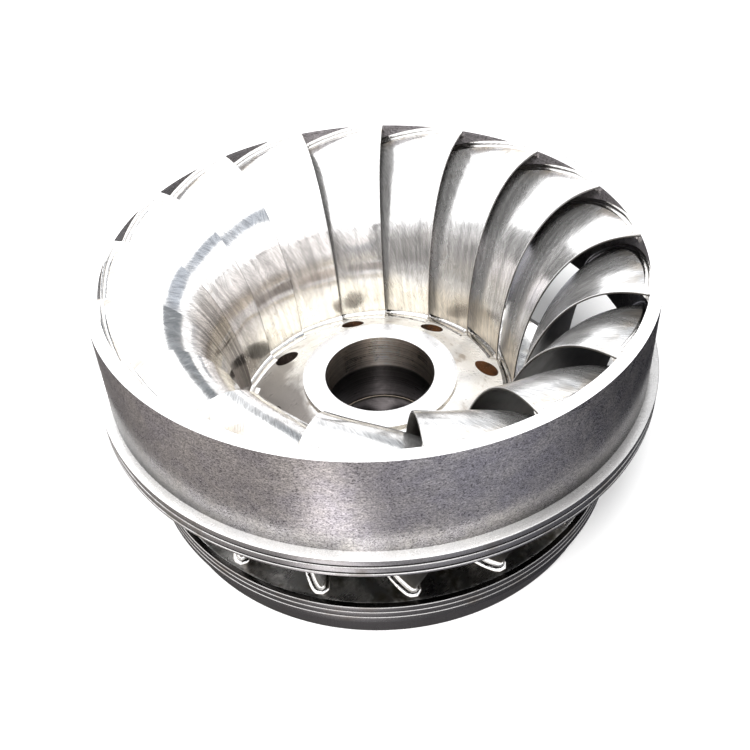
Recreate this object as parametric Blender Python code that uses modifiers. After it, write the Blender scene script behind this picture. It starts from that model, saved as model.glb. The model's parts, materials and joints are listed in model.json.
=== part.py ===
"""Welded stainless Francis turbine runner, lying crown down with its discharge side up.

Metres, +Z up. The axis of rotation is Z and the crown's foot stands on Z = 0.
An azimuth is measured from +Y towards +X, so that -Y is the front.
"""

import math

import bmesh
import bpy
import numpy as np

MM = 0.001
SEAT_GAP = 0.3 * MM
SEGMENTS = 96
HUB_SEGMENTS = 64

# Band: the outer ring, a plain cylinder over the seal ring
BAND_OUTER_R = 365 * MM
BAND_TOP_Z = 359.5 * MM
BAND_BOTTOM_Z = 192 * MM
BAND_INNER_R = 349.5 * MM
BAND_FLARE = 6 * MM
BAND_FLARE_POWER = 3
BAND_EDGE = 2 * MM
BAND_WALL_STEPS = 6
BAND_SHOULDER_Z = 219 * MM
BAND_SEAT_R = 362 * MM

# Seal ring of the band, with a flat ledge on top and two labyrinth grooves
BAND_SEAL_R = 378 * MM
SEAL_EDGE = 0.8 * MM
BAND_GROOVE_WIDTH = 3.3 * MM
BAND_GROOVE_DEPTH = 3.6 * MM
BAND_GROOVE_TOPS_Z = (210.5 * MM, 198.8 * MM)

# Crown: a dished disc that rises to the hub, on a plain foot ring, hollow underneath
CROWN_RIM_R = 322.5 * MM
CROWN_RIM_Z = 65 * MM
CROWN_RISE = 47.2 * MM
CROWN_RISE_POWER = 1.75
CROWN_FOOT_R = 318 * MM
CROWN_FOOT_INNER_R = 288 * MM
CROWN_PLATE = 34 * MM
CROWN_EDGE = 1.5 * MM
CROWN_FLOW_STEPS = 10
CROWN_BACK_STEPS = 5

# Seal ring of the crown, with two narrow labyrinth grooves
CROWN_SEAL_R = 330.4 * MM
CROWN_SEAL_BOTTOM_Z = 36 * MM
CROWN_GROOVE_WIDTH = 1.5 * MM
CROWN_GROOVE_DEPTH = 2 * MM
CROWN_GROOVE_TOPS_Z = (57.2 * MM, 47.3 * MM)

# Hub: the bored boss in the middle of the crown
HUB_R = 110 * MM
HUB_TOP_Z = 150 * MM
HUB_EDGE = 1.5 * MM
BORE_R = 78 * MM
BORE_LEDGE_Z = 32 * MM
LOWER_BORE_R = 73 * MM
HUB_FLANGE_R = 130 * MM
HUB_FLANGE_TOP_Z = 28 * MM

# Balance holes through the crown disc
HOLE_COUNT = 8
HOLE_RING_R = 163.3 * MM
HOLE_R = 17.5 * MM
HOLE_FIRST_AZIMUTH = 30.1
HOLE_SEGMENTS = 24
DRILL_LENGTH = 200 * MM

# Blades
BLADE_COUNT = 17
TRAIL_FOOT_R = 193 * MM
TRAIL_FOOT_AZIMUTH = 3.1
TRAIL_TIP_LAG = 0.25
TRAIL_BOW = 0.8
TRAIL_ROUNDNESS = 0.83
LEAD_FOOT_R = 310 * MM
LEAD_TIP_Z = 199 * MM
FOOT_WRAP = 41.1
TIP_WRAP = 45
FOOT_SLOPE = 0.226
TIP_SLOPE = 0.34
FOOT_SWEEP_POWER = 4.9
TIP_SWEEP_POWER = 3.2
TRAIL_THICKNESS = 3 * MM
LEAD_THICKNESS = 15 * MM
FULL_THICKNESS_CHORD = 0.7
NOSE_SHARE = 0.085
CROWN_WELD_GAP = 0.6 * MM
BAND_WELD_GAP = 0.7 * MM
SPAN_STATIONS = 8
CHORD_STATIONS = (0, 0.12, 0.24, 0.35, 0.45, 0.54, 0.63, 0.715, 0.79, 0.86, 0.915, 0.957, 0.985, 1)
SLOPE_STEP = 0.0001


def clear_scene():
    for obj in list(bpy.data.objects):
        bpy.data.objects.remove(obj, do_unlink=True)


def collection(name):
    made = bpy.data.collections.new(name)
    bpy.context.scene.collection.children.link(made)
    return made


def steel(name, colour, roughness):
    """A metal with the colour and polish of one surface of the runner."""
    material = bpy.data.materials.new(name)
    material.use_nodes = True
    shader = material.node_tree.nodes["Principled BSDF"]
    shader.inputs["Base Color"].default_value = (*colour, 1)
    shader.inputs["Roughness"].default_value = roughness
    shader.inputs["Metallic"].default_value = 1
    return material


def place(name, mesh, group, material):
    obj = bpy.data.objects.new(name, mesh)
    group.objects.link(obj)
    if not mesh.materials:
        mesh.materials.append(material)
    return obj


def turned(name, outline, group, material, segments=SEGMENTS):
    """A ring from its outline of (radius, height), outer side downwards first, spun about Z."""
    mesh = bpy.data.meshes.new(name)
    count = len(outline)
    edges = [(i, (i + 1) % count) for i in range(count)]
    mesh.from_pydata([(r, 0, z) for r, z in outline], edges, [])
    obj = place(name, mesh, group, material)
    screw = obj.modifiers.new("Turn", "SCREW")
    screw.axis = "Z"
    screw.angle = math.tau
    screw.steps = screw.render_steps = segments
    screw.use_smooth_shade = True
    screw.use_merge_vertices = True
    screw.merge_threshold = 0.0001
    return obj


def band_inner_radius(z):
    """The band's water passage wall, which opens a little towards the inlet below."""
    depth = (BAND_TOP_Z - z) / (BAND_TOP_Z - BAND_BOTTOM_Z)
    return BAND_INNER_R + BAND_FLARE * np.clip(depth, 0, 1) ** BAND_FLARE_POWER


def crown_height(r):
    """The crown's water passage wall, flat at the rim and steeper towards the hub."""
    inward = np.clip((CROWN_SEAL_R - r) / (CROWN_SEAL_R - HOLE_RING_R), 0, None)
    return CROWN_RIM_Z + CROWN_RISE * inward**CROWN_RISE_POWER


def band_outline():
    heights = np.linspace(BAND_BOTTOM_Z + BAND_EDGE, BAND_TOP_Z, BAND_WALL_STEPS)
    return [
        (BAND_OUTER_R, BAND_TOP_Z),
        (BAND_OUTER_R, BAND_SHOULDER_Z),
        (BAND_SEAT_R, BAND_SHOULDER_Z),
        (BAND_SEAT_R, BAND_BOTTOM_Z),
        (band_inner_radius(BAND_BOTTOM_Z) + BAND_EDGE, BAND_BOTTOM_Z),
        *[(band_inner_radius(z), z) for z in heights],
    ]


def grooves(outer_r, depth, width, tops):
    """Outline points of square grooves in an outer face, from the top one down."""
    points = []
    for top in tops:
        floor_r = outer_r - depth
        points += [(outer_r, top), (floor_r, top), (floor_r, top - width), (outer_r, top - width)]
    return points


def band_seal_outline():
    inner = BAND_SEAT_R + SEAT_GAP
    top = BAND_SHOULDER_Z - SEAT_GAP
    return [
        (BAND_SEAL_R - SEAL_EDGE, top),
        (BAND_SEAL_R, top - SEAL_EDGE),
        *grooves(BAND_SEAL_R, BAND_GROOVE_DEPTH, BAND_GROOVE_WIDTH, BAND_GROOVE_TOPS_Z),
        (BAND_SEAL_R, BAND_BOTTOM_Z),
        (inner, BAND_BOTTOM_Z),
        (inner, top),
    ]


def crown_outline():
    bore_r = HUB_R + SEAT_GAP
    flow = [(r, crown_height(r)) for r in np.linspace(bore_r, CROWN_RIM_R, CROWN_FLOW_STEPS)]
    back_radii = np.linspace(CROWN_FOOT_INNER_R, bore_r, CROWN_BACK_STEPS)
    return [
        *flow,
        (CROWN_RIM_R, CROWN_SEAL_BOTTOM_Z),
        (CROWN_FOOT_R, CROWN_SEAL_BOTTOM_Z),
        (CROWN_FOOT_R, CROWN_EDGE),
        (CROWN_FOOT_R - CROWN_EDGE, 0),
        (CROWN_FOOT_INNER_R, 0),
        *[(r, crown_height(r) - CROWN_PLATE) for r in back_radii],
    ]


def crown_seal_outline():
    inner = CROWN_RIM_R + SEAT_GAP
    return [
        (inner, CROWN_RIM_Z),
        (CROWN_SEAL_R - SEAL_EDGE, CROWN_RIM_Z),
        (CROWN_SEAL_R, CROWN_RIM_Z - SEAL_EDGE),
        *grooves(CROWN_SEAL_R, CROWN_GROOVE_DEPTH, CROWN_GROOVE_WIDTH, CROWN_GROOVE_TOPS_Z),
        (CROWN_SEAL_R, CROWN_SEAL_BOTTOM_Z),
        (inner, CROWN_SEAL_BOTTOM_Z),
    ]


def hub_outline():
    return [
        (HUB_R - HUB_EDGE, HUB_TOP_Z),
        (HUB_R, HUB_TOP_Z - HUB_EDGE),
        (HUB_R, HUB_FLANGE_TOP_Z),
        (HUB_FLANGE_R, HUB_FLANGE_TOP_Z),
        (HUB_FLANGE_R, 0),
        (LOWER_BORE_R, 0),
        (LOWER_BORE_R, BORE_LEDGE_Z),
        (BORE_R, BORE_LEDGE_Z),
        (BORE_R, HUB_TOP_Z - HUB_EDGE),
        (BORE_R + HUB_EDGE, HUB_TOP_Z),
    ]


def around(r, z, azimuth):
    angle = np.radians(azimuth)
    return np.stack([r * np.sin(angle), r * np.cos(angle), z], axis=-1)


def blade_camber(chord, span):
    """Middle surface of the first blade: chord 0 at the trailing edge, span 0 at the crown."""
    turn = span * math.pi / 2
    foot_z = crown_height(TRAIL_FOOT_R)
    tip_z = BAND_TOP_Z - TRAIL_THICKNESS / 2
    tip_r = band_inner_radius(tip_z)
    trail_r = TRAIL_FOOT_R + (tip_r - TRAIL_FOOT_R) * (1 - np.cos(turn) ** TRAIL_ROUNDNESS)
    trail_z = foot_z + (tip_z - foot_z) * np.sin(turn)
    lead_foot_z = crown_height(LEAD_FOOT_R)
    lead_tip_r = band_inner_radius(LEAD_TIP_Z)
    lead_r = LEAD_FOOT_R + (lead_tip_r - LEAD_FOOT_R) * span
    lead_z = lead_foot_z + (LEAD_TIP_Z - lead_foot_z) * span
    slope = FOOT_SLOPE + (TIP_SLOPE - FOOT_SLOPE) * span
    power = FOOT_SWEEP_POWER + (TIP_SWEEP_POWER - FOOT_SWEEP_POWER) * span
    sweep = slope * chord + (1 - slope) * chord**power
    r = trail_r + (lead_r - trail_r) * sweep
    z = trail_z + (lead_z - trail_z) * sweep
    lag = TRAIL_TIP_LAG * np.sin(turn) + TRAIL_BOW * np.sin(2 * turn)
    wrap = FOOT_WRAP + (TIP_WRAP - FOOT_WRAP) * span
    azimuth = TRAIL_FOOT_AZIMUTH - lag - wrap * chord
    return r, z, azimuth


def blade_half_thickness(chord):
    growth = np.sin(np.clip(chord / FULL_THICKNESS_CHORD, 0, 1) * math.pi / 2)
    half = (TRAIL_THICKNESS + (LEAD_THICKNESS - TRAIL_THICKNESS) * growth) / 2
    nose = np.clip((chord - 1 + NOSE_SHARE) / NOSE_SHARE, 0, 1)
    return half * np.sqrt(1 - nose**2)


def blade_side(side):
    """Points of one face of the blade, side +1 or -1, its edges trimmed to the crown and band."""
    chord, span = np.meshgrid(
        np.array(CHORD_STATIONS, float), np.linspace(0, 1, SPAN_STATIONS), indexing="ij"
    )
    middle = around(*blade_camber(chord, span))
    along = around(*blade_camber(chord + SLOPE_STEP, span)) - middle
    across = middle - around(*blade_camber(chord, np.abs(span - SLOPE_STEP)))
    across[:, 0] *= -1
    normal = np.cross(across, along)
    normal /= np.linalg.norm(normal, axis=-1, keepdims=True)
    points = middle + normal * (side * blade_half_thickness(chord))[..., None]
    radius = np.hypot(points[..., 0], points[..., 1])
    points[:, 0, 2] = crown_height(radius[:, 0]) + CROWN_WELD_GAP
    wall = band_inner_radius(points[:, -1, 2]) - BAND_WELD_GAP
    points[:, -1, :2] *= (wall / radius[:, -1])[:, None]
    return points


def blade_mesh():
    """A closed loft: two faces that meet in the nose, closed at trailing edge, crown and band."""
    upper = blade_side(1)
    lower = blade_side(-1)
    stations, spans = upper.shape[:2]
    mesh = bmesh.new()
    rows = [[mesh.verts.new(p) for p in row] for row in upper]
    back = [[mesh.verts.new(p) for p in row] for row in lower[:-1]] + [rows[-1]]
    for i in range(stations - 1):
        for j in range(spans - 1):
            mesh.faces.new((rows[i][j], rows[i][j + 1], rows[i + 1][j + 1], rows[i + 1][j]))
            mesh.faces.new((back[i][j], back[i + 1][j], back[i + 1][j + 1], back[i][j + 1]))
        for j in (0, spans - 1):
            rim = dict.fromkeys((rows[i][j], rows[i + 1][j], back[i + 1][j], back[i][j]))
            mesh.faces.new(list(rim))
    for j in range(spans - 1):
        mesh.faces.new((rows[0][j], back[0][j], back[0][j + 1], rows[0][j + 1]))
    bmesh.ops.recalc_face_normals(mesh, faces=mesh.faces)
    made = bpy.data.meshes.new("blade")
    mesh.to_mesh(made)
    mesh.free()
    made.shade_smooth()
    return made


def add_blades(group, material):
    mesh = blade_mesh()
    for number in range(BLADE_COUNT):
        blade = place(f"blade_{number + 1:02d}", mesh, group, material)
        blade.rotation_euler.z = -math.tau * number / BLADE_COUNT


def drill_balance_holes(crown, cutters):
    for number in range(HOLE_COUNT):
        azimuth = HOLE_FIRST_AZIMUTH + 360 * number / HOLE_COUNT
        mesh = bpy.data.meshes.new("balance_drill")
        drill = bmesh.new()
        bmesh.ops.create_cone(
            drill, cap_ends=True, segments=HOLE_SEGMENTS, radius1=HOLE_R, radius2=HOLE_R, depth=DRILL_LENGTH
        )
        drill.to_mesh(mesh)
        drill.free()
        cutter = bpy.data.objects.new(f"balance_drill_{number + 1}", mesh)
        cutters.objects.link(cutter)
        cutter.location = around(HOLE_RING_R, crown_height(HOLE_RING_R), azimuth)
        cutter.hide_render = True
        cutter.display_type = "WIRE"
    cut = crown.modifiers.new("Balance holes", "BOOLEAN")
    cut.operation = "DIFFERENCE"
    cut.operand_type = "COLLECTION"
    cut.collection = cutters
    cut.solver = "EXACT"


def build():
    clear_scene()
    group = collection("francis_runner")
    cutters = collection("cutters")
    satin = steel("band_steel", (0.52, 0.51, 0.50), 0.34)
    bright = steel("seal_steel", (0.62, 0.62, 0.63), 0.22)
    ground = steel("crown_steel", (0.50, 0.48, 0.46), 0.38)
    faced = steel("hub_steel", (0.80, 0.80, 0.80), 0.25)
    polished = steel("blade_steel", (0.66, 0.66, 0.66), 0.20)
    turned("band", band_outline(), group, satin)
    turned("band_seal_ring", band_seal_outline(), group, bright)
    crown = turned("crown", crown_outline(), group, ground)
    turned("crown_seal_ring", crown_seal_outline(), group, bright)
    turned("hub", hub_outline(), group, faced, HUB_SEGMENTS)
    drill_balance_holes(crown, cutters)
    add_blades(group, polished)


build()
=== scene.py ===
"""Looks of the welded stainless Francis runner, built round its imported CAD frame.

Metres, +Z up, the crown's foot on Z = 0. An azimuth is measured from +Y towards +X,
so that -Y is the side that the camera sees in front.
"""

import json
import math

import bpy
import numpy as np
from mathutils import Matrix

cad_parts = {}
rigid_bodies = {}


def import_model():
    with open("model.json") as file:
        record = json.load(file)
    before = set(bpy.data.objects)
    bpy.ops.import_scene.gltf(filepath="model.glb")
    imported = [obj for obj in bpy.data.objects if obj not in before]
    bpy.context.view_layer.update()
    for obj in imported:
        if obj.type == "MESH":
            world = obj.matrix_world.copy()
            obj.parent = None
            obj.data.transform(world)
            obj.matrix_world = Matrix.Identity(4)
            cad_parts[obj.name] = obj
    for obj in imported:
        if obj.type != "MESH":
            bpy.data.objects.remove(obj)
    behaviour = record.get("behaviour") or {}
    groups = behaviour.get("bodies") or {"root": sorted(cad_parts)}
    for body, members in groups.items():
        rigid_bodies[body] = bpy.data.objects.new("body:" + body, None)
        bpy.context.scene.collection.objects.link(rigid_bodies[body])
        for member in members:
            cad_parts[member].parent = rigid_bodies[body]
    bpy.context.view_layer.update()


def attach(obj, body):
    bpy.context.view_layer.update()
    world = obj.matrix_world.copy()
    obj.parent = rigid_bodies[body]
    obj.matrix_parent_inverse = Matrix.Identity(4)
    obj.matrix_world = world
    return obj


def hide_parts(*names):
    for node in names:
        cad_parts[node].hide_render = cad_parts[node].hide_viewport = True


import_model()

MM = 0.001
SEGMENTS = 288

# Camera: the photograph's focal length, principal point and place, in the band's radii
BAND_R = 365 * MM
RIM_Z = 359.5 * MM
PICTURE = 750
FOCAL_PIXELS = 960
PRINCIPAL = (391.1, 300)
CAMERA_DISTANCE = 3.534
CAMERA_ELEVATION = 37.69
CAMERA_ROLL = -2.27
CAMERA_TARGET = (0.055, -0.219)
CAMERA_SENSOR = 36

# Floor, with a bright strip in front of the runner that shows only in the steel
FLOOR_HALF = 40
FLOOR_COLOUR = (0.9, 0.9, 0.9)
FLOOR_ROUGHNESS = 0.6
GROUND_LEFT_TINT = (1, 0.94, 0.93)
GROUND_RIGHT_TINT = (0.93, 0.94, 1.06)
GROUND_LEFT_X = -0.4
GROUND_RIGHT_X = 0.3
STRIP_AZIMUTH = 200
STRIP_OFFSET = -0.064
STRIP_WIDTH = 0.13

# Sky, and a wall in it that shows only in the steel. In the direction (x, y, z) an edge of the wall
# is at z = a + b x + c y, where (a, b, c) is given here and y counts as WALL_BEND where it is less.
SKY_ON_FLOOR = 0.42
SKY_MIRRORED = 2.4
SKY_TINT = (0.97, 0.98, 1)
WALL_FOOT = (0.026, 0.475, -0.312)
WALL_TOP = (0.474, 0.156, -0.226)
WALL_BEND = -0.43
WALL_BACK = (0.07, 0.082, 0.095)
WALL_SIDE = (0.175, 0.198, 0.235)

# Sun
SUN_AZIMUTH = 192
SUN_ELEVATION = 58
SUN_SPREAD = 24
SUN_POWER = 3.8

# Turned pieces
SHARP_ANGLE = math.radians(35)
CORNER_RADIUS = 0.7 * MM

# Band and its seal ring
BAND_WALL_STEPS = 26
BAND_BOTTOM_Z = 192 * MM
BAND_INNER_R = 349.5 * MM
BAND_FLARE = 6 * MM
BAND_FLARE_POWER = 3
BAND_SHOULDER_Z = 219 * MM
BAND_SEAT_R = 362 * MM
BAND_SEAL_R = 378 * MM
BAND_GROOVE = (3.3 * MM, 3.6 * MM)
BAND_GROOVE_TOPS_Z = (210.5 * MM, 198.8 * MM)

# Crown and its seal ring
CROWN_FLOW_STEPS = 48
CROWN_BACK_STEPS = 24
CROWN_RIM_R = 322.5 * MM
CROWN_RIM_Z = 65 * MM
CROWN_RISE = 47.2 * MM
CROWN_RISE_POWER = 1.75
CROWN_FOOT_R = 318 * MM
CROWN_FOOT_INNER_R = 288 * MM
CROWN_PLATE = 34 * MM
CROWN_SEAL_R = 330.4 * MM
CROWN_SEAL_BOTTOM_Z = 36 * MM
CROWN_GROOVE = (1.5 * MM, 2 * MM)
CROWN_GROOVE_TOPS_Z = (57.2 * MM, 47.3 * MM)
LAND_CHAMFER = 0.8 * MM

# Hub
HUB_R = 110 * MM
HUB_TOP_Z = 150 * MM
BORE_R = 78 * MM
BORE_LEDGE_Z = 32 * MM
LOWER_BORE_R = 73 * MM
HUB_FLANGE_R = 130 * MM
HUB_FLANGE_TOP_Z = 28 * MM

# Balance holes
HOLE_COUNT = 8
HOLE_RING_R = 163.3 * MM
HOLE_R = 17.5 * MM
HOLE_FIRST_AZIMUTH = 30.1
HOLE_SEGMENTS = 64
DRILL_FROM_Z = 0.3
DRILL_TO_Z = -0.05

# Blades
BLADE_COUNT = 17
TRAIL_FOOT_R = 193 * MM
TRAIL_FOOT_AZIMUTH = 3.1
TRAIL_TIP_LAG = 0.25
TRAIL_BOW = 0.8
TRAIL_ROUNDNESS = 0.83
LEAD_FOOT_R = 310 * MM
LEAD_TIP_Z = 199 * MM
FOOT_WRAP = 41.1
TIP_WRAP = 45
FOOT_SLOPE = 0.226
TIP_SLOPE = 0.34
FOOT_SWEEP_POWER = 4.9
TIP_SWEEP_POWER = 3.2
TRAIL_THICKNESS = 3 * MM
LEAD_THICKNESS = 15 * MM
FULL_THICKNESS_CHORD = 0.7
NOSE_SHARE = 0.085
BLADE_CHORD_STATIONS = 56
BLADE_NOSE_STATIONS = 9
BLADE_SPAN_STATIONS = 40
BURIED = 0.5 * MM
SLOPE_STEP = 0.0001

# Welds
CROWN_WELD_LEG = 9 * MM
BAND_WELD_LEG = 6 * MM
WELD_STEPS = 15
WELD_HOLLOW = 0.35
BEAD_RISE = 0.9 * MM
WELD_GROWTH = 0.45
WELD_BELOW_RIM = 0.4 * MM
WELD_TOE_DEPTH = 0.1 * MM
WELD_ROOT_DEPTH = 1 * MM

# Steel colours; some of them are painted light and shade, as said where they are used
BAND_EDGE_TINT = (0.62, 0.62, 0.62, 1)
BAND_COOL = (0.51, 0.485, 0.50)
BAND_WARM = (0.655, 0.62, 0.595)
BAND_INSIDE = (0.24, 0.222, 0.232)
BAND_RIM = (0.62, 0.61, 0.60)
SEAL_UPPER = (0.50, 0.485, 0.475)
SEAL_LOWER_PAINTED_SHADE = (0.39, 0.375, 0.365)
SEAL_STAIN = (0.30, 0.27, 0.24)
LEDGE_LEFT_PAINTED_LIGHT = (0.94, 0.93, 0.91)
LEDGE_RIGHT_PAINTED_SHADE = (0.40, 0.395, 0.39)
CROWN_LIGHT = (0.92, 0.91, 0.89)
CROWN_TAN = (0.80, 0.78, 0.74)
CROWN_STAIN = (0.44, 0.39, 0.34)
CROWN_DARK_PATCH = (0.30, 0.28, 0.265)
INLET_DARK = (0.34, 0.335, 0.33)
INLET_LIGHT = (0.95, 0.93, 0.90)
INLET_STAIN = (0.22, 0.20, 0.16)
UNDERSIDE_LIGHT = (0.52, 0.50, 0.49)
UNDERSIDE_DARK = (0.36, 0.33, 0.31)
RUST_RED = (0.20, 0.085, 0.035)
RUST_BROWN = (0.07, 0.04, 0.025)
HOLE_LEFT_BLACK = (0.05, 0.036, 0.03)
RUST_SPECK = (0.75, 0.6, 0.5)
HUB_FACE = (0.72, 0.715, 0.71)
HUB_SIDE_LIGHT = (0.78, 0.75, 0.70)
HUB_SIDE_BROWN = (0.50, 0.45, 0.39)
BORE_UPPER = (0.74, 0.66, 0.59)
BORE_LOWER_PAINTED_SHADE = (0.075, 0.068, 0.064)
BORE_LEDGE = (0.05, 0.045, 0.04)
BORE_LEDGE_PAINTED_HIGHLIGHT = (0.62, 0.52, 0.42)
BLADE_LIGHT = (0.86, 0.855, 0.85)
BLADE_GREY = (0.78, 0.765, 0.75)
MIDDLE_LEFT = (0.66, 0.625, 0.60)
MIDDLE_RIGHT = (0.84, 0.825, 0.815)
FOOT_BROWN = (0.40, 0.36, 0.31)
FOOT_CREAM = (0.99, 0.93, 0.815)
FOOT_TAN = (0.74, 0.67, 0.57)
STREAK_BROWN = (0.35, 0.315, 0.285)
SMUDGE = (0.40, 0.36, 0.32)
HEAT_TINT = (0.42, 0.34, 0.24)
MARGIN_LEFT = (0.40, 0.385, 0.37)
MARGIN_RIGHT = (0.11, 0.105, 0.10)
BACK_GREY = (0.075, 0.068, 0.058)
BACK_BLACK = (0.035, 0.032, 0.028)
BACK_REAR = (0.20, 0.19, 0.18)
WELD_LIGHT = (0.72, 0.71, 0.70)
WELD_GREY = (0.58, 0.56, 0.53)
WELD_VALLEY_SHADE = (0.16, 0.14, 0.12)
WELD_TOE = (0.20, 0.17, 0.14)
WELD_PIT = (0.06, 0.05, 0.045)

# Where the looks change on the runner; a pair holds the two radii or heights that a change lies between
BAND_INSIDE_R = (0.356, 0.360)
BAND_FOOT_SHADE = 38 * MM
SEAL_RINGS_APART_Z = 0.1
CROWN_FLOOR_R = (CROWN_SEAL_R - 1.6 * MM, CROWN_SEAL_R - 0.9 * MM)
BAND_FLOOR_R = (BAND_SEAL_R - 3 * MM, BAND_SEAL_R - 1.4 * MM)
INLET_R = (0.205, 0.235)
UNDERSIDE_Z = (0.034, 0.038)
HOLE_WALL_R = (0.143, 0.184)
BORE_SHADE_LINE_Z = (0.092, 0.098)
BORE_WALL_R = (0.081, 0.085)
BORE_LEDGE_PAINTED_HIGHLIGHT_R = (0.0764, 0.077)

# The dark patch left of the hub: the direction it lies in, and how far out it begins
DARK_PATCH_WAY = (-0.94, -0.34)
DARK_PATCH_FROM = (0.135, 0.16)

# The brown blades lie at the left, in front of the line where y + BROWN_BLADES_LINE x is 0
BROWN_BLADES_LINE = 0.148
BROWN_BLADES_X = (-0.16, -0.12)


def around(r, z, azimuth):
    angle = np.radians(azimuth)
    return np.stack(np.broadcast_arrays(r * np.sin(angle), r * np.cos(angle), z), axis=-1)


def unit(vectors):
    return vectors / np.linalg.norm(vectors, axis=-1, keepdims=True)


def travelled(points):
    """The length from the first point to each point of a row, or of each row in a grid."""
    steps = np.linalg.norm(np.diff(points, axis=-2), axis=-1)
    start = np.zeros((*steps.shape[:-1], 1))
    return np.concatenate([start, np.cumsum(steps, axis=-1)], axis=-1)


def band_inner_radius(z):
    depth = (RIM_Z - z) / (RIM_Z - BAND_BOTTOM_Z)
    return BAND_INNER_R + BAND_FLARE * np.clip(depth, 0, 1) ** BAND_FLARE_POWER


def crown_height(r):
    inward = np.clip((CROWN_SEAL_R - r) / (CROWN_SEAL_R - HOLE_RING_R), 0, None)
    return CROWN_RIM_Z + CROWN_RISE * inward**CROWN_RISE_POWER


def add(name, mesh, material, replaced=()):
    """An object of the runner that rides with it and may stand for CAD nodes."""
    obj = bpy.data.objects.new(name, mesh)
    bpy.context.scene.collection.objects.link(obj)
    if not mesh.materials:
        mesh.materials.append(material)
    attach(obj, "root")
    if replaced:
        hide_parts(*replaced)
    return obj


def tube_mesh(name, points, uv=None):
    """A closed mesh from a grid of points: rings along the first axis, with a cap on both ends."""
    along, across = points.shape[:2]
    index = np.arange(along * across).reshape(along, across)
    nexts = np.roll(index, -1, axis=1)
    faces = np.stack([index[:-1], nexts[:-1], nexts[1:], index[1:]], axis=-1).reshape(-1, 4).tolist()
    faces.append(index[0, ::-1].tolist())
    faces.append(index[-1].tolist())
    mesh = bpy.data.meshes.new(name)
    mesh.from_pydata(points.reshape(-1, 3).tolist(), [], faces)
    if uv is not None:
        layer = mesh.uv_layers.new(name="UVMap")
        loops = np.empty(len(mesh.loops), np.int32)
        mesh.loops.foreach_get("vertex_index", loops)
        layer.data.foreach_set("uv", uv.reshape(-1, 2)[loops].astype(np.float32).ravel())
    mesh.shade_smooth()
    mesh.set_sharp_from_angle(angle=SHARP_ANGLE)
    mesh.validate()
    return mesh


def softened(outline, radius):
    """The outline with each corner turned into a short curve."""
    points = np.array(outline, float)
    before = np.roll(points, 1, axis=0) - points
    after = np.roll(points, -1, axis=0) - points
    made = []
    for corner, back, on in zip(points, before, after):
        reach = min(radius, np.hypot(*back) / 3, np.hypot(*on) / 3)
        start = corner + back / np.hypot(*back) * reach
        end = corner + on / np.hypot(*on) * reach
        made += [start, start / 4 + corner / 2 + end / 4, end]
    return made


def turned_mesh(name, outline):
    """A ring from its outline of (radius, height), outer side downwards first, spun about Z."""
    profile = np.array(outline)
    turn = np.linspace(0, 360, SEGMENTS, endpoint=False)[:, None]
    ring = around(profile[:, 0], profile[:, 1], turn)
    index = np.arange(SEGMENTS * len(profile)).reshape(SEGMENTS, len(profile))
    index = np.concatenate([index, index[:1]])
    nexts = np.roll(index, -1, axis=1)
    faces = np.stack([index[:-1], index[1:], nexts[1:], nexts[:-1]], axis=-1).reshape(-1, 4)
    mesh = bpy.data.meshes.new(name)
    mesh.from_pydata(ring.reshape(-1, 3).tolist(), [], faces.tolist())
    mesh.shade_smooth()
    mesh.set_sharp_from_angle(angle=SHARP_ANGLE)
    return mesh


def grooves(outer_r, size, tops):
    """The outline of square grooves, each with a chamfer on the land below it."""
    width, depth = size
    points = []
    for top in tops:
        floor_r = outer_r - depth
        points += [(outer_r, top), (floor_r, top), (floor_r, top - width)]
        points += [(outer_r - LAND_CHAMFER, top - width), (outer_r, top - width - LAND_CHAMFER)]
    return points


def band_outline():
    heights = np.linspace(BAND_BOTTOM_Z, RIM_Z, BAND_WALL_STEPS)
    return [
        (BAND_R, RIM_Z),
        (BAND_R, BAND_SHOULDER_Z),
        (BAND_SEAT_R, BAND_SHOULDER_Z),
        (BAND_SEAT_R, BAND_BOTTOM_Z),
        *[(float(band_inner_radius(z)), z) for z in heights],
    ]


def band_seal_outline():
    return [
        (BAND_SEAL_R - LAND_CHAMFER, BAND_SHOULDER_Z),
        (BAND_SEAL_R, BAND_SHOULDER_Z - LAND_CHAMFER),
        *grooves(BAND_SEAL_R, BAND_GROOVE, BAND_GROOVE_TOPS_Z),
        (BAND_SEAL_R, BAND_BOTTOM_Z),
        (BAND_SEAT_R, BAND_BOTTOM_Z),
        (BAND_SEAT_R, BAND_SHOULDER_Z),
    ]


def crown_outline():
    outwards = np.linspace(HUB_R, CROWN_RIM_R, CROWN_FLOW_STEPS)
    inwards = np.linspace(CROWN_FOOT_INNER_R, HUB_R, CROWN_BACK_STEPS)
    flow = [(r, float(crown_height(r))) for r in outwards]
    back = [(r, float(crown_height(r)) - CROWN_PLATE) for r in inwards]
    return [
        *flow,
        (CROWN_RIM_R, CROWN_SEAL_BOTTOM_Z),
        (CROWN_FOOT_R, CROWN_SEAL_BOTTOM_Z),
        (CROWN_FOOT_R, 0),
        (CROWN_FOOT_INNER_R, 0),
        *back,
    ]


def crown_seal_outline():
    return [
        (CROWN_RIM_R, CROWN_RIM_Z),
        (CROWN_SEAL_R - LAND_CHAMFER, CROWN_RIM_Z),
        (CROWN_SEAL_R, CROWN_RIM_Z - LAND_CHAMFER),
        *grooves(CROWN_SEAL_R, CROWN_GROOVE, CROWN_GROOVE_TOPS_Z),
        (CROWN_SEAL_R, CROWN_SEAL_BOTTOM_Z),
        (CROWN_RIM_R, CROWN_SEAL_BOTTOM_Z),
    ]


def hub_outline():
    return [
        (HUB_R, HUB_TOP_Z),
        (HUB_R, HUB_FLANGE_TOP_Z),
        (HUB_FLANGE_R, HUB_FLANGE_TOP_Z),
        (HUB_FLANGE_R, 0),
        (LOWER_BORE_R, 0),
        (LOWER_BORE_R, BORE_LEDGE_Z),
        (BORE_R, BORE_LEDGE_Z),
        (BORE_R, HUB_TOP_Z),
    ]


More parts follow.
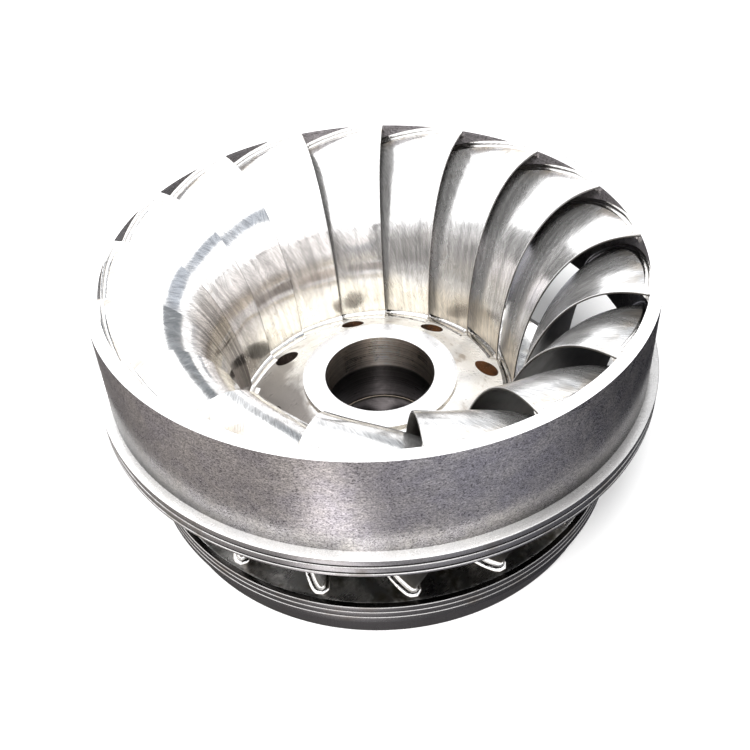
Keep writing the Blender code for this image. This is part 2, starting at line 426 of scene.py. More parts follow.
def drill(obj):
    """Cuts the balance holes straight down through the crown."""
    cutters = bpy.data.collections.new("cutters")
    bpy.context.scene.collection.children.link(cutters)
    ring = around(HOLE_R, 0.0, np.linspace(0, 360, HOLE_SEGMENTS, endpoint=False))
    for number in range(HOLE_COUNT):
        centre = around(HOLE_RING_R, 0.0, HOLE_FIRST_AZIMUTH + 360 * number / HOLE_COUNT)
        column = np.stack([ring + centre + (0, 0, z) for z in (DRILL_FROM_Z, DRILL_TO_Z)])
        mesh = tube_mesh(f"drill_{number}", column)
        cutters.objects.link(bpy.data.objects.new(mesh.name, mesh))
    cut = obj.modifiers.new("Balance holes", "BOOLEAN")
    cut.operation = "DIFFERENCE"
    cut.operand_type = "COLLECTION"
    cut.collection = cutters
    cut.solver = "EXACT"
    cut_crown = obj.evaluated_get(bpy.context.evaluated_depsgraph_get())
    drilled = bpy.data.meshes.new_from_object(cut_crown)
    obj.modifiers.clear()
    obj.data = drilled
    obj.data.set_sharp_from_angle(angle=SHARP_ANGLE)
    for cutter in list(cutters.objects):
        bpy.data.objects.remove(cutter)
    bpy.data.collections.remove(cutters)


def blade_camber(chord, span):
    """Middle surface of the first blade: chord 0 at the trailing edge, span 0 at the crown."""
    turn = span * math.pi / 2
    foot_z = crown_height(TRAIL_FOOT_R)
    tip_z = RIM_Z - TRAIL_THICKNESS / 2
    tip_r = band_inner_radius(tip_z)
    trail_r = TRAIL_FOOT_R + (tip_r - TRAIL_FOOT_R) * (1 - np.cos(turn) ** TRAIL_ROUNDNESS)
    trail_z = foot_z + (tip_z - foot_z) * np.sin(turn)
    lead_foot_z = crown_height(LEAD_FOOT_R)
    lead_tip_r = band_inner_radius(LEAD_TIP_Z)
    lead_r = LEAD_FOOT_R + (lead_tip_r - LEAD_FOOT_R) * span
    lead_z = lead_foot_z + (LEAD_TIP_Z - lead_foot_z) * span
    slope = FOOT_SLOPE + (TIP_SLOPE - FOOT_SLOPE) * span
    power = FOOT_SWEEP_POWER + (TIP_SWEEP_POWER - FOOT_SWEEP_POWER) * span
    sweep = slope * chord + (1 - slope) * chord**power
    r = trail_r + (lead_r - trail_r) * sweep
    z = trail_z + (lead_z - trail_z) * sweep
    lag = TRAIL_TIP_LAG * np.sin(turn) + TRAIL_BOW * np.sin(2 * turn)
    wrap = FOOT_WRAP + (TIP_WRAP - FOOT_WRAP) * span
    return r, z, TRAIL_FOOT_AZIMUTH - lag - wrap * chord


def blade_loop():
    """Chord and half thickness round the section: trailing edge, face, nose and back again."""
    body = np.linspace(0, 1 - NOSE_SHARE, BLADE_CHORD_STATIONS)
    turn = np.linspace(0, math.pi / 2, BLADE_NOSE_STATIONS)[1:]
    chord = np.concatenate([body, 1 - NOSE_SHARE + NOSE_SHARE * np.sin(turn)])
    fullness = np.concatenate([np.ones(len(body)), np.cos(turn)])
    growth = np.sin(np.clip(chord / FULL_THICKNESS_CHORD, 0, 1) * math.pi / 2)
    half = (TRAIL_THICKNESS + (LEAD_THICKNESS - TRAIL_THICKNESS) * growth) / 2 * fullness
    both = np.concatenate([chord, chord[-2::-1]])
    offset = np.concatenate([half, -half[-2::-1]])
    return both, offset


def blade_grid():
    """Points round the blade's section for each station of its span, and those of its middle surface."""
    loop, offset = blade_loop()
    chord, span = np.meshgrid(loop, np.linspace(0, 1, BLADE_SPAN_STATIONS), indexing="ij")
    middle = around(*blade_camber(chord, span))
    along = around(*blade_camber(chord + SLOPE_STEP, span)) - middle
    across = middle - around(*blade_camber(chord, np.abs(span - SLOPE_STEP)))
    across[:, 0] *= -1
    points = middle + unit(np.cross(across, along)) * offset[:, None, None]
    radius = np.hypot(points[..., 0], points[..., 1])
    points[:, 0, 2] = crown_height(radius[:, 0]) - BURIED
    wall = band_inner_radius(points[:, -1, 2]) + BURIED
    points[:, -1, :2] *= (wall / radius[:, -1])[:, None]
    return points, middle


def blade_mesh(points):
    """The blade's closed skin, with metres round it and up it as its UV, and the lengths of both."""
    loop, _ = blade_loop()
    height = travelled(points.mean(axis=0))
    length = travelled(points[:, points.shape[1] // 2])
    uv = np.stack(np.meshgrid(length, height, indexing="ij"), axis=-1)
    mesh = tube_mesh("blade", np.swapaxes(points, 0, 1), np.swapaxes(uv, 0, 1))
    return mesh, length[len(loop) // 2], height[-1]


def weld_mesh(name, points, middle, leg, at_crown):
    """A ground fillet along one end of the blade, on both sides and round its nose."""
    edge = points if at_crown else points[:, ::-1]
    centre = (middle if at_crown else middle[:, ::-1])[:, 0]
    root = edge[:, 0]
    reach = travelled(edge)
    loop, _ = blade_loop()
    leg = leg * (1 + WELD_GROWTH * (1 - loop) ** 2)
    rows = range(len(root))
    top = np.stack([[np.interp(leg[i], reach[i], edge[i, :, k]) for k in range(3)] for i in rows])
    tangent = unit(np.gradient(root, axis=0))
    if at_crown:
        up = np.tile([0.0, 0.0, 1.0], (len(root), 1))
    else:
        up = -root * (1, 1, 0) / np.hypot(root[:, 0], root[:, 1])[:, None]
    out = unit(np.cross(tangent, up))
    if np.sum(out * (root - centre)) < 0:
        out = -out
    side = root + out * leg[:, None]
    radius = np.hypot(side[:, 0], side[:, 1])
    if at_crown:
        side[:, 2] = crown_height(radius) - WELD_TOE_DEPTH
    else:
        side[:, :2] *= ((band_inner_radius(side[:, 2]) + WELD_TOE_DEPTH) / radius)[:, None]
    corner = root - out * WELD_ROOT_DEPTH - up * WELD_ROOT_DEPTH
    for edge_points in (top, side, corner):
        edge_points[:, 2] = np.minimum(edge_points[:, 2], RIM_Z - WELD_BELOW_RIM)
    share = np.linspace(0, 1, WELD_STEPS)[None, :, None]
    chord = (top + side) / 2
    pull = chord + (root - chord) * WELD_HOLLOW
    face = (1 - share) ** 2 * top[:, None] + 2 * share * (1 - share) * pull[:, None]
    face += share**2 * side[:, None]
    face += unit(chord - root)[:, None] * np.abs(np.sin(2 * np.pi * share)) * BEAD_RISE
    face[..., 2] = np.minimum(face[..., 2], RIM_Z - WELD_BELOW_RIM)
    section = np.concatenate([face, corner[:, None]], axis=1)
    uv = np.stack(np.meshgrid(travelled(root), np.append(share, 1.0), indexing="ij"), axis=-1)
    return tube_mesh(name, section, uv)


class Nodes:
    """Short calls that add nodes to a shader tree and give their sockets."""

    def __init__(self, tree):
        self.tree = tree

    def link(self, socket, target):
        self.tree.links.new(socket, target)

    def node(self, kind, inputs=(), **settings):
        """A shader node; a number or colour in inputs is set and a socket is linked."""
        made = self.tree.nodes.new("ShaderNode" + kind)
        for name, value in settings.items():
            setattr(made, name, value)
        for name, value in dict(inputs).items():
            if isinstance(value, bpy.types.NodeSocket):
                self.link(value, made.inputs[name])
            else:
                made.inputs[name].default_value = value
        return made

    def split(self, vector):
        return self.node("SeparateXYZ", {0: vector}).outputs[:3]

    def join(self, x, y, z):
        return self.node("CombineXYZ", {0: x, 1: y, 2: z}).outputs[0]

    def math(self, operation, *values, clamp=False):
        return self.node("Math", enumerate(values), operation=operation, use_clamp=clamp).outputs[0]

    def times(self, first, *others):
        for other in others:
            first = self.math("MULTIPLY", first, other)
        return first

    def linear(self, value, factor, base):
        """The value times the factor, plus the base."""
        return self.math("MULTIPLY_ADD", value, factor, base)

    def rest(self, share):
        return self.math("SUBTRACT", 1.0, share)

    def greater(self, first, second):
        return self.math("MAXIMUM", first, second)

    def spread(self, value, low, high, to_low=0.0, to_high=1.0):
        """The value's place between low and high, as a smooth step from to_low to to_high."""
        inputs = {0: value, 1: low, 2: high, 3: to_low, 4: to_high}
        return self.node("MapRange", inputs, interpolation_type="SMOOTHSTEP").outputs[0]

    def between(self, value, low, high, edge):
        """1 where the value lies between low and high, with soft edges."""
        rising = self.spread(value, low - edge, low + edge)
        falling = self.spread(value, high - edge, high + edge, 1.0, 0.0)
        return self.times(rising, falling)

    def mixed(self, share, first, second):
        """The colour between first and second."""
        made = self.node("Mix", {0: share}, data_type="RGBA")
        for place, colour in ((6, first), (7, second)):
            if isinstance(colour, bpy.types.NodeSocket):
                self.link(colour, made.inputs[place])
            else:
                made.inputs[place].default_value = (*colour, 1)
        return made.outputs[2]

    def mirrored_apart(self, plain, mirrored, output):
        """Shows one shader where the steel mirrors it and the plain one to all other rays."""
        rays = self.node("LightPath").outputs["Is Glossy Ray"]
        both = self.node("MixShader", {0: rays, 1: plain, 2: mirrored})
        self.link(both.outputs[0], output.inputs["Surface"])


class Looks(Nodes):
    """A metal whose colour, polish and relief are built from short calls."""

    def __init__(self, name, anisotropic=0.0):
        self.material = bpy.data.materials.new(name)
        self.material.use_nodes = True
        super().__init__(self.material.node_tree)
        self.shader = self.tree.nodes["Principled BSDF"]
        self.shader.inputs["Metallic"].default_value = 1
        self.shader.inputs["Anisotropic Rotation"].default_value = 0.25
        self.coordinates = self.node("TexCoord")
        self.place = self.coordinates.outputs["Object"]
        self.x, self.y, self.z = self.split(self.place)
        self.relief = None
        if anisotropic:
            self.shader.inputs["Anisotropic"].default_value = anisotropic
            turned = self.node("Tangent", direction_type="RADIAL", axis="Z")
            self.link(turned.outputs[0], self.shader.inputs["Tangent"])

    def radius(self):
        return self.math("SQRT", self.linear(self.x, self.x, self.times(self.y, self.y)))

    def facing_up(self):
        """From 1 where the surface faces up to -1 where it faces down."""
        return self.split(self.coordinates.outputs["Normal"])[2]

    def upward(self):
        """1 on the surfaces that face up."""
        return self.spread(self.facing_up(), 0.3, 0.8)

    def noise(self, scale, detail=3.0, roughness=0.6, distortion=0.0, at=None):
        inputs = {
            "Vector": at or self.place,
            "Scale": scale,
            "Detail": detail,
            "Roughness": roughness,
            "Distortion": distortion,
        }
        return self.node("TexNoise", inputs).outputs[0]

    def streaks(self, u, v, angle, fine, long, detail=3.0):
        """Noise along a direction of the (u, v) surface: fine across it, long along it, per metre."""
        side, on = math.sin(math.radians(angle)), math.cos(math.radians(angle))
        across = self.linear(u, side * fine, self.times(v, -on * fine))
        along = self.linear(u, on * long, self.times(v, side * long))
        return self.noise(1.0, detail, 0.65, at=self.join(across, along, self.z))

    def turning_marks(self, pitch):
        """Fine rings left by the lathe, that wander a little round the ring."""
        drift = self.noise(6.0, 1.0)
        across = self.linear(drift, 0.4, self.times(self.z, 1 / pitch))
        out = self.times(self.radius(), 1 / pitch)
        return self.noise(1.0, 2.0, 0.7, at=self.join(across, out, self.times(drift, 2.0)))

    def scaled(self, colour, factor):
        """The colour made lighter or darker by a factor that varies over the surface."""
        made = self.node("VectorMath", operation="SCALE")
        self.link(colour, made.inputs[0])
        self.link(factor, made.inputs["Scale"])
        return made.outputs[0]

    def raised(self, height, distance):
        """Adds relief: height is 0 to 1 over a distance in metres."""
        inputs = {"Height": height, "Distance": distance, "Strength": 1.0}
        if self.relief is not None:
            inputs["Normal"] = self.relief
        self.relief = self.node("Bump", inputs).outputs[0]

    def done(self, colour, roughness, metallic=None):
        self.link(colour, self.shader.inputs["Base Color"])
        self.link(roughness, self.shader.inputs["Roughness"])
        if metallic is not None:
            self.link(metallic, self.shader.inputs["Metallic"])
        if self.relief is not None:
            self.link(self.relief, self.shader.inputs["Normal"])
        return self.material


def band_steel():
    """Turned satin steel with dark specks, dull and dark on the inner wall, with a painted highlight on the
    rim and painted shade at the foot, at the left end and on the inner wall's left side.
    """
    looks = Looks("band_satin")
    looks.shader.inputs["Specular Tint"].default_value = BAND_EDGE_TINT
    marks = looks.turning_marks(1.1 * MM)
    grain = looks.noise(900.0, 2.0, 0.7)
    level = looks.join(looks.x, looks.y, looks.times(looks.z, 2.2))
    speckle = looks.noise(430.0, 2.0, 0.8, at=level)
    mottle = looks.noise(170.0, 3.0, 0.7, at=level)
    blotch = looks.noise(28.0, 4.0, 0.6)
    up = looks.upward()
    inside = looks.spread(looks.radius(), *BAND_INSIDE_R, 1.0, 0.0)
    colour = looks.mixed(looks.spread(blotch, 0.3, 0.7), BAND_COOL, BAND_WARM)
    colour = looks.mixed(looks.times(inside, 0.9), colour, BAND_INSIDE)
    colour = looks.mixed(up, colour, BAND_RIM)
    tone = looks.times(
        looks.spread(grain, 0.3, 0.7, 0.80, 1.2),
        looks.spread(marks, 0.2, 0.8, 0.86, 1.12),
        looks.spread(speckle, 0.34, 0.56, 0.28, 1.2),
        looks.spread(mottle, 0.3, 0.7, 0.76, 1.2),
    )
    # Painted shade: the foot is darker, most of all at both ends of what shows, so that it mirrors less of
    # the ledge
    painted_foot_shade = looks.spread(looks.x, 0.05, 0.2, 0.52, 0.16)
    painted_foot_shade = looks.times(painted_foot_shade, looks.spread(looks.x, -0.26, -0.1, 0.5, 1.0))
    painted_foot_shade = looks.greater(painted_foot_shade, looks.between(looks.x, -0.055, 0.01, 0.035))
    foot = looks.spread(looks.z, BAND_SHOULDER_Z, BAND_SHOULDER_Z + BAND_FOOT_SHADE, painted_foot_shade, 1.0)
    # Painted shade: the band's left end is darker, and its inner wall at the left is halved in brightness
    left = looks.spread(looks.x, -0.32, -0.22, 0.74, 1.0)
    corner = looks.times(inside, looks.spread(looks.x, -0.08, -0.2))
    tone = looks.times(tone, foot, left, looks.linear(corner, -0.5, 1.0))
    # Painted highlight: the surfaces facing up, such as the rim's top, are at least 1.3 times as bright
    tone = looks.greater(tone, looks.times(up, 1.3))
    looks.raised(marks, 0.012 * MM)
    looks.raised(grain, 0.012 * MM)
    roughness = looks.linear(speckle, 0.16, looks.spread(blotch, 0.3, 0.7, 0.18, 0.25))
    metallic = looks.linear(looks.times(inside, looks.rest(up)), -0.55, 1.0)
    return looks.done(looks.scaled(colour, tone), roughness, metallic)


def seal_steel():
    """Turned lands for both seal rings, with painted shade in the groove floors, on the lower ring and at
    the right, and a dull ledge on the band's one, painted light at its left and shade at its right.
    """
    looks = Looks("seal_turned", 0.55)
    r = looks.radius()
    marks = looks.turning_marks(0.7 * MM)
    grain = looks.noise(700.0, 2.0, 0.7)
    stain = looks.noise(22.0, 4.0, 0.65)
    # Painted shade: the crown's seal ring, lower down, is darker than the band's one
    colour = looks.mixed(looks.spread(looks.z, 0.06, 0.1, 1.0, 0.0), SEAL_UPPER, SEAL_LOWER_PAINTED_SHADE)
    colour = looks.mixed(looks.spread(stain, 0.5, 0.72), colour, SEAL_STAIN)
    on_top = looks.math("GREATER_THAN", looks.z, BAND_SHOULDER_Z - 0.4 * MM)
    ledge = looks.times(looks.upward(), on_top)
    # Painted light and shade on the ledge: bright at the left, dark at the right
    lit = looks.mixed(looks.spread(looks.x, 0.06, 0.24), LEDGE_LEFT_PAINTED_LIGHT, LEDGE_RIGHT_PAINTED_SHADE)
    colour = looks.mixed(ledge, colour, lit)
    # Painted shade in the groove floors of both rings
    crown_floor = looks.spread(r, *CROWN_FLOOR_R, 0.25, 1.0)
    at_ledge = looks.math("GREATER_THAN", looks.z, BAND_SHOULDER_Z - 0.5 * MM)
    band_floor = looks.greater(looks.spread(r, *BAND_FLOOR_R, 0.3, 1.0), at_ledge)
    on_band = looks.math("GREATER_THAN", looks.z, SEAL_RINGS_APART_Z)
    groove = looks.linear(looks.math("SUBTRACT", band_floor, crown_floor), on_band, crown_floor)
    # Painted shade: the lands are halved in brightness at the right
    right = looks.times(looks.spread(looks.x, 0.04, 0.2), looks.rest(ledge))
    tone = looks.times(
        groove,
        looks.spread(marks, 0.28, 0.42, 0.66, 1.0),
        looks.spread(grain, 0.3, 0.7, 0.84, 1.12),
        looks.linear(right, -0.5, 1.0),
    )
    looks.raised(marks, 0.04 * MM)
    looks.raised(grain, 0.02 * MM)
    roughness = looks.linear(marks, 0.12, looks.spread(stain, 0.4, 0.7, 0.16, 0.26))
    return looks.done(looks.scaled(colour, tone), roughness, looks.linear(ledge, -0.5, 1.0))


def crown_steel():
    """Ground and stained steel round the hub, mottled at the inlet, rusty in the holes."""
    looks = Looks("crown_ground")
    r = looks.radius()
    facing = looks.facing_up()
    cloud = looks.noise(14.0, 5.0, 0.62, 0.6)
    stain = looks.noise(30.0, 3.0, 0.6, 0.3)
    grain = looks.noise(750.0, 2.0, 0.7)
    scratch = looks.streaks(looks.x, looks.y, 35.0, 900.0, 40.0)
    ground = looks.mixed(looks.spread(cloud, 0.35, 0.65), CROWN_LIGHT, CROWN_TAN)
    ground = looks.mixed(looks.spread(stain, 0.56, 0.74), ground, CROWN_STAIN)
    way_x, way_y = DARK_PATCH_WAY
    out = looks.linear(looks.x, way_x, looks.linear(cloud, 0.08, looks.times(looks.y, way_y)))
    ground = looks.mixed(looks.spread(out, *DARK_PATCH_FROM), ground, CROWN_DARK_PATCH)
    inlet = looks.spread(r, *INLET_R)
    mottled = looks.mixed(looks.spread(cloud, 0.44, 0.60), INLET_DARK, INLET_LIGHT)
    mottled = looks.mixed(looks.spread(stain, 0.5, 0.7), mottled, INLET_STAIN)
    colour = looks.mixed(inlet, ground, mottled)
    low = looks.spread(looks.z, *UNDERSIDE_Z, 1.0, 0.0)
    below = looks.greater(low, looks.spread(facing, -0.3, -0.1, 1.0, 0.0))
    colour = looks.mixed(below, colour, looks.mixed(cloud, UNDERSIDE_LIGHT, UNDERSIDE_DARK))
    upright = looks.between(facing, -0.45, 0.45, 0.1)
    hole_wall = looks.times(looks.between(r, *HOLE_WALL_R, 0.001), upright)
    rust = looks.mixed(looks.spread(stain, 0.4, 0.62), RUST_RED, RUST_BROWN)
    # The holes at the left get black walls
    rust = looks.mixed(looks.spread(looks.x, -0.1, -0.05), HOLE_LEFT_BLACK, rust)
    rust = looks.mixed(looks.spread(grain, 0.66, 0.72), rust, RUST_SPECK)
    colour = looks.mixed(hole_wall, colour, rust)
    tone = looks.times(
        looks.spread(grain, 0.3, 0.7, 0.88, 1.08),
        looks.spread(scratch, 0.3, 0.6, 0.95, 1.02),
    )
    looks.raised(looks.noise(30.0, 1.0), 0.2 * MM)
    looks.raised(scratch, 0.001 * MM)
    looks.raised(grain, 0.02 * MM)
    polish = looks.linear(stain, 0.18, looks.spread(scratch, 0.3, 0.7, 0.19, 0.215))
    dull = looks.times(looks.spread(inlet, 0.0, 1.0, 0.55, 0.0), looks.rest(below))
    roughness = looks.linear(hole_wall, 0.35, polish)
    return looks.done(looks.scaled(colour, tone), roughness, looks.rest(dull))


def hub_steel():
    """Bright turned face and side, and a bore that is brown above a line and painted nearly black below it
    as shade, with a painted highlight down its middle and a ledge painted dark with a thin painted
    highlight ring.
    """
    looks = Looks("hub_faced", 0.5)
    r = looks.radius()
    marks = looks.turning_marks(0.9 * MM)
    grain = looks.noise(800.0, 2.0, 0.7)
    stain = looks.noise(32.0, 4.0, 0.66, 0.8)
    side = looks.mixed(looks.spread(stain, 0.45, 0.7), HUB_SIDE_LIGHT, HUB_SIDE_BROWN)
    # Painted shade: the bore is nearly black below a line deep in it
    bore = looks.mixed(looks.spread(looks.z, *BORE_SHADE_LINE_Z), BORE_LOWER_PAINTED_SHADE, BORE_UPPER)
    bore = looks.scaled(bore, looks.spread(stain, 0.3, 0.7, 1.2, 0.75))
    bore = looks.scaled(bore, looks.spread(marks, 0.32, 0.62, 0.72, 1.22))
    # Painted highlight: the bore is lighter down its middle
    from_painted_highlight = looks.math("ABSOLUTE", looks.math("SUBTRACT", looks.x, 0.012))
    bore = looks.scaled(bore, looks.spread(from_painted_highlight, 0.0, 0.06, 1.3, 0.5))
    bored = looks.spread(r, *BORE_WALL_R, 1.0, 0.0)
    colour = looks.mixed(bored, side, bore)
    up = looks.upward()
    top = looks.times(up, looks.math("GREATER_THAN", looks.z, 0.1))
    colour = looks.mixed(top, colour, HUB_FACE)
    # The bore's ledge: painted shade, with a thin painted highlight ring at its outer edge
    ledge = looks.mixed(looks.spread(r, *BORE_LEDGE_PAINTED_HIGHLIGHT_R), BORE_LEDGE, BORE_LEDGE_PAINTED_HIGHLIGHT)
    colour = looks.mixed(looks.times(up, looks.rest(top)), colour, ledge)
    tone = looks.times(looks.spread(marks, 0.2, 0.7, 0.85, 1.1), looks.spread(grain, 0.3, 0.7, 0.93, 1.05))
    looks.raised(marks, 0.03 * MM)
    looks.raised(grain, 0.015 * MM)
    polish = looks.linear(marks, 0.14, looks.spread(stain, 0.3, 0.7, 0.14, 0.24))
    roughness = looks.linear(bored, 0.06, polish)
    return looks.done(looks.scaled(colour, tone), roughness, looks.linear(top, -0.35, 1.0))


def blade_steel(face_length, height):
    """Hand-ground face on top, and a rough face below painted dark as shade; u runs round the blade and v
    from crown to band.
    """
    looks = Looks("blade_polished")
    u, v, _ = looks.split(looks.coordinates.outputs["UV"])
    one = looks.node("ObjectInfo").outputs["Random"]
    shifted = looks.linear(one, 7.0, u)
    here = looks.join(shifted, v, one)
    share = looks.times(v, 1 / height)
    cloud = looks.noise(16.0, 4.0, 0.6, 0.5, at=here)
    smudge = looks.noise(40.0, 3.0, 0.6, 0.3, at=here)
    place = looks.linear(looks.math("SUBTRACT", cloud, 0.5), 0.22, share)

    # Two directions of hand grinding, in patches
    steep = looks.streaks(shifted, v, 58.0, 760.0, 75.0)
    flat = looks.streaks(shifted, v, 112.0, 620.0, 60.0)
    scratch = looks.linear(looks.math("SUBTRACT", flat, steep), looks.spread(cloud, 0.55, 0.58), steep)

    # The face, light above, with a greyer middle and a cream foot, painted reflections by height. The
    # middle is painted darker at the left as shade, the foot tan at the right as shade, and brown on the
    # left blades as stain and painted shade
    colour = looks.mixed(cloud, BLADE_LIGHT, BLADE_GREY)
    middle = looks.mixed(looks.spread(looks.x, -0.12, 0.02), MIDDLE_LEFT, MIDDLE_RIGHT)
    colour = looks.mixed(looks.spread(place, 0.66, 0.46), colour, middle)
    beyond = looks.linear(looks.x, BROWN_BLADES_LINE, looks.y)
    cream_share = looks.spread(beyond, 0.03, 0.07, 0.0, 0.4)
    cream_share = looks.linear(looks.spread(beyond, -0.002, 0.002), 0.6, cream_share)
    cream_share = looks.greater(cream_share, looks.spread(looks.x, *BROWN_BLADES_X))
    low = looks.mixed(cream_share, FOOT_BROWN, FOOT_CREAM)
    low = looks.mixed(looks.spread(looks.x, 0.05, 0.12), low, FOOT_TAN)
    colour = looks.mixed(looks.spread(place, 0.30, 0.16), colour, low)
    colour = looks.mixed(looks.spread(smudge, 0.60, 0.78, 0.0, 0.6), colour, SMUDGE)
    tint = looks.times(looks.spread(share, 0.90, 0.985), looks.spread(smudge, 0.42, 0.6), 0.55)
    colour = looks.mixed(tint, colour, HEAT_TINT)

    # Painted shade: the margin under the next blade, darkest on the right-hand blades, and the dark back,
    # lighter on the rear blades
    to_right = looks.spread(looks.x, 0.06, 0.16)
    painted_margin_shade = looks.times(looks.spread(u, 0.10, 0.2), looks.spread(looks.x, 0.06, 0.16, 0.6, 0.9))
    colour = looks.mixed(painted_margin_shade, colour, looks.mixed(to_right, MARGIN_LEFT, MARGIN_RIGHT))
    back = looks.mixed(cloud, BACK_GREY, BACK_BLACK)
    back = looks.mixed(looks.spread(looks.y, 0.04, 0.12), back, BACK_REAR)
    under = looks.spread(u, face_length - 0.012, face_length + 0.004)
    colour = looks.mixed(under, colour, back)

    # Brown streaks low on the left blades, stain and painted shade, and a thin painted shade along their
    # trailing edges
    stained = looks.times(looks.rest(cream_share), looks.spread(place, 0.7, 0.56))
    colour = looks.mixed(looks.times(stained, 0.85), colour, STREAK_BROWN)
    stain = looks.spread(looks.streaks(shifted, v, 86.0, 210.0, 4.0, 1.0), 0.38, 0.58, 0.5, 1.0)
    edge = looks.times(
        looks.spread(u, 0.0006, 0.0026, 0.5, 0.0),
        looks.spread(looks.x, -0.1, 0.0, 1.0, 0.0),
        looks.spread(share, 0.72, 0.6),
    )
    tone = looks.times(
        looks.spread(scratch, 0.25, 0.75, 0.72, 1.22),
        looks.spread(looks.streaks(shifted, v, 80.0, 150.0, 8.0), 0.3, 0.7, 0.93, 1.05),
        looks.spread(looks.streaks(shifted, v, 84.0, 120.0, 5.0, 1.0), 0.34, 0.6, 0.84, 1.06),
        looks.linear(looks.math("SUBTRACT", stain, 1.0), stained, 1.0),
        looks.rest(edge),
    )
    looks.raised(looks.noise(13.0, 0.0, at=here), 0.6 * MM)
    looks.raised(scratch, 0.0008 * MM)
    roughness = looks.linear(scratch, 0.08, looks.spread(smudge, 0.35, 0.7, 0.04, 0.1))
    roughness = looks.linear(looks.spread(v, 0.02, 0.09, 1.0, 0.0), 0.12, roughness)
    roughness = looks.linear(looks.spread(u, 0.02, 0.08), 0.08, roughness)
    roughness = looks.linear(looks.spread(looks.x, -0.02, 0.1), 0.09, roughness)
    roughness = looks.linear(under, 0.12, roughness)
    return looks.done(looks.scaled(colour, tone), roughness, looks.spread(under, 0.0, 1.0, 0.78, 0.95))


def weld_steel():
    """Ground weld fillet: two bright beads with painted shade in the valley between them, dark toes,
    ripples and a few pits.
    """
    looks = Looks("weld_ground")
    u, v, _ = looks.split(looks.coordinates.outputs["UV"])
    one = looks.node("ObjectInfo").outputs["Random"]
    here = looks.join(looks.linear(one, 5.0, u), looks.times(v, 0.012), one)
    ripple = looks.noise(330.0, 2.0, 0.6, 0.8, at=here)
    lumps = looks.noise(90.0, 3.0, 0.6, at=here)
    pits = looks.noise(520.0, 1.0, 0.5, at=here)
    toe = looks.math("ABSOLUTE", looks.math("SUBTRACT", v, 0.5))
    toe = looks.linear(looks.math("SUBTRACT", lumps, 0.5), 0.12, toe)
    colour = looks.mixed(lumps, WELD_LIGHT, WELD_GREY)
    # Painted shade in the valley between the two beads
    valley = looks.times(looks.spread(toe, 0.02, 0.09, 1.0, 0.0), 0.55)
    colour = looks.mixed(valley, colour, WELD_VALLEY_SHADE)
    colour = looks.mixed(looks.spread(toe, 0.43, 0.48), colour, WELD_TOE)
    colour = looks.mixed(looks.spread(pits, 0.70, 0.76), colour, WELD_PIT)
    looks.raised(lumps, 0.5 * MM)
    looks.raised(ripple, 0.1 * MM)
    looks.raised(looks.spread(pits, 0.66, 0.76, 1.0, 0.0), 0.2 * MM)
    return looks.done(colour, looks.spread(ripple, 0.3, 0.7, 0.08, 0.2))


def add_rings():
    seal = seal_steel()
    rings = [
        ("band_turned", band_outline(), band_steel(), "band", "band_steel"),
        ("band_seal_turned", band_seal_outline(), seal, "band_seal_ring", "seal_steel"),
        ("crown_turned", crown_outline(), crown_steel(), "crown", "crown_steel"),
        ("crown_seal_turned", crown_seal_outline(), seal, "crown_seal_ring", "seal_steel"),
        ("hub_turned", hub_outline(), hub_steel(), "hub", "hub_steel"),
    ]
    for name, outline, material, node_name, slot in rings:
        mesh = turned_mesh(name, softened(outline, CORNER_RADIUS))
        obj = add(name, mesh, material, [node_name])
        if node_name == "crown":
            drill(obj)


def add_blades():
    points, middle = blade_grid()
    skin, face_length, height = blade_mesh(points)
    ground = blade_steel(face_length, height)
    bead = weld_steel()
    crown_weld = weld_mesh("crown_weld", points, middle, CROWN_WELD_LEG, True)
    band_weld = weld_mesh("band_weld", points, middle, BAND_WELD_LEG, False)
    for number in range(BLADE_COUNT):
        turn = Matrix.Rotation(-math.tau * number / BLADE_COUNT, 4, "Z")
        suffix = f"{number + 1:02d}"
        for kind, mesh, material in (
            ("blade_skin", skin, ground),
            ("crown_weld", crown_weld, bead),
            ("band_weld", band_weld, bead),
        ):
            replaced = [f"blade_{suffix}"] if kind == "blade_skin" else []
            turned = mesh.copy()
            turned.transform(turn)
            add(f"{kind}_{suffix}", turned, material, replaced)


def add_camera():
    data = bpy.data.cameras.new("camera")
    data.sensor_width = CAMERA_SENSOR
    data.lens = FOCAL_PIXELS / PICTURE * CAMERA_SENSOR
    data.shift_x = (PICTURE / 2 - PRINCIPAL[0]) / PICTURE
    data.shift_y = (PRINCIPAL[1] - PICTURE / 2) / PICTURE
    camera = bpy.data.objects.new("camera", data)
    bpy.context.scene.collection.objects.link(camera)
    pitch = math.radians(CAMERA_ELEVATION)
    back = np.array([0, -math.cos(pitch), math.sin(pitch)])
    place = np.array([CAMERA_TARGET[0], 0, CAMERA_TARGET[1]]) + CAMERA_DISTANCE * back
    place = place * BAND_R + (0, 0, RIM_Z)
    roll = Matrix.Rotation(math.radians(CAMERA_ROLL), 4, "Z")
    camera.matrix_world = Matrix.Translation(place) @ Matrix.Rotation(math.pi / 2 - pitch, 4, "X") @ roll
    bpy.context.scene.camera = camera


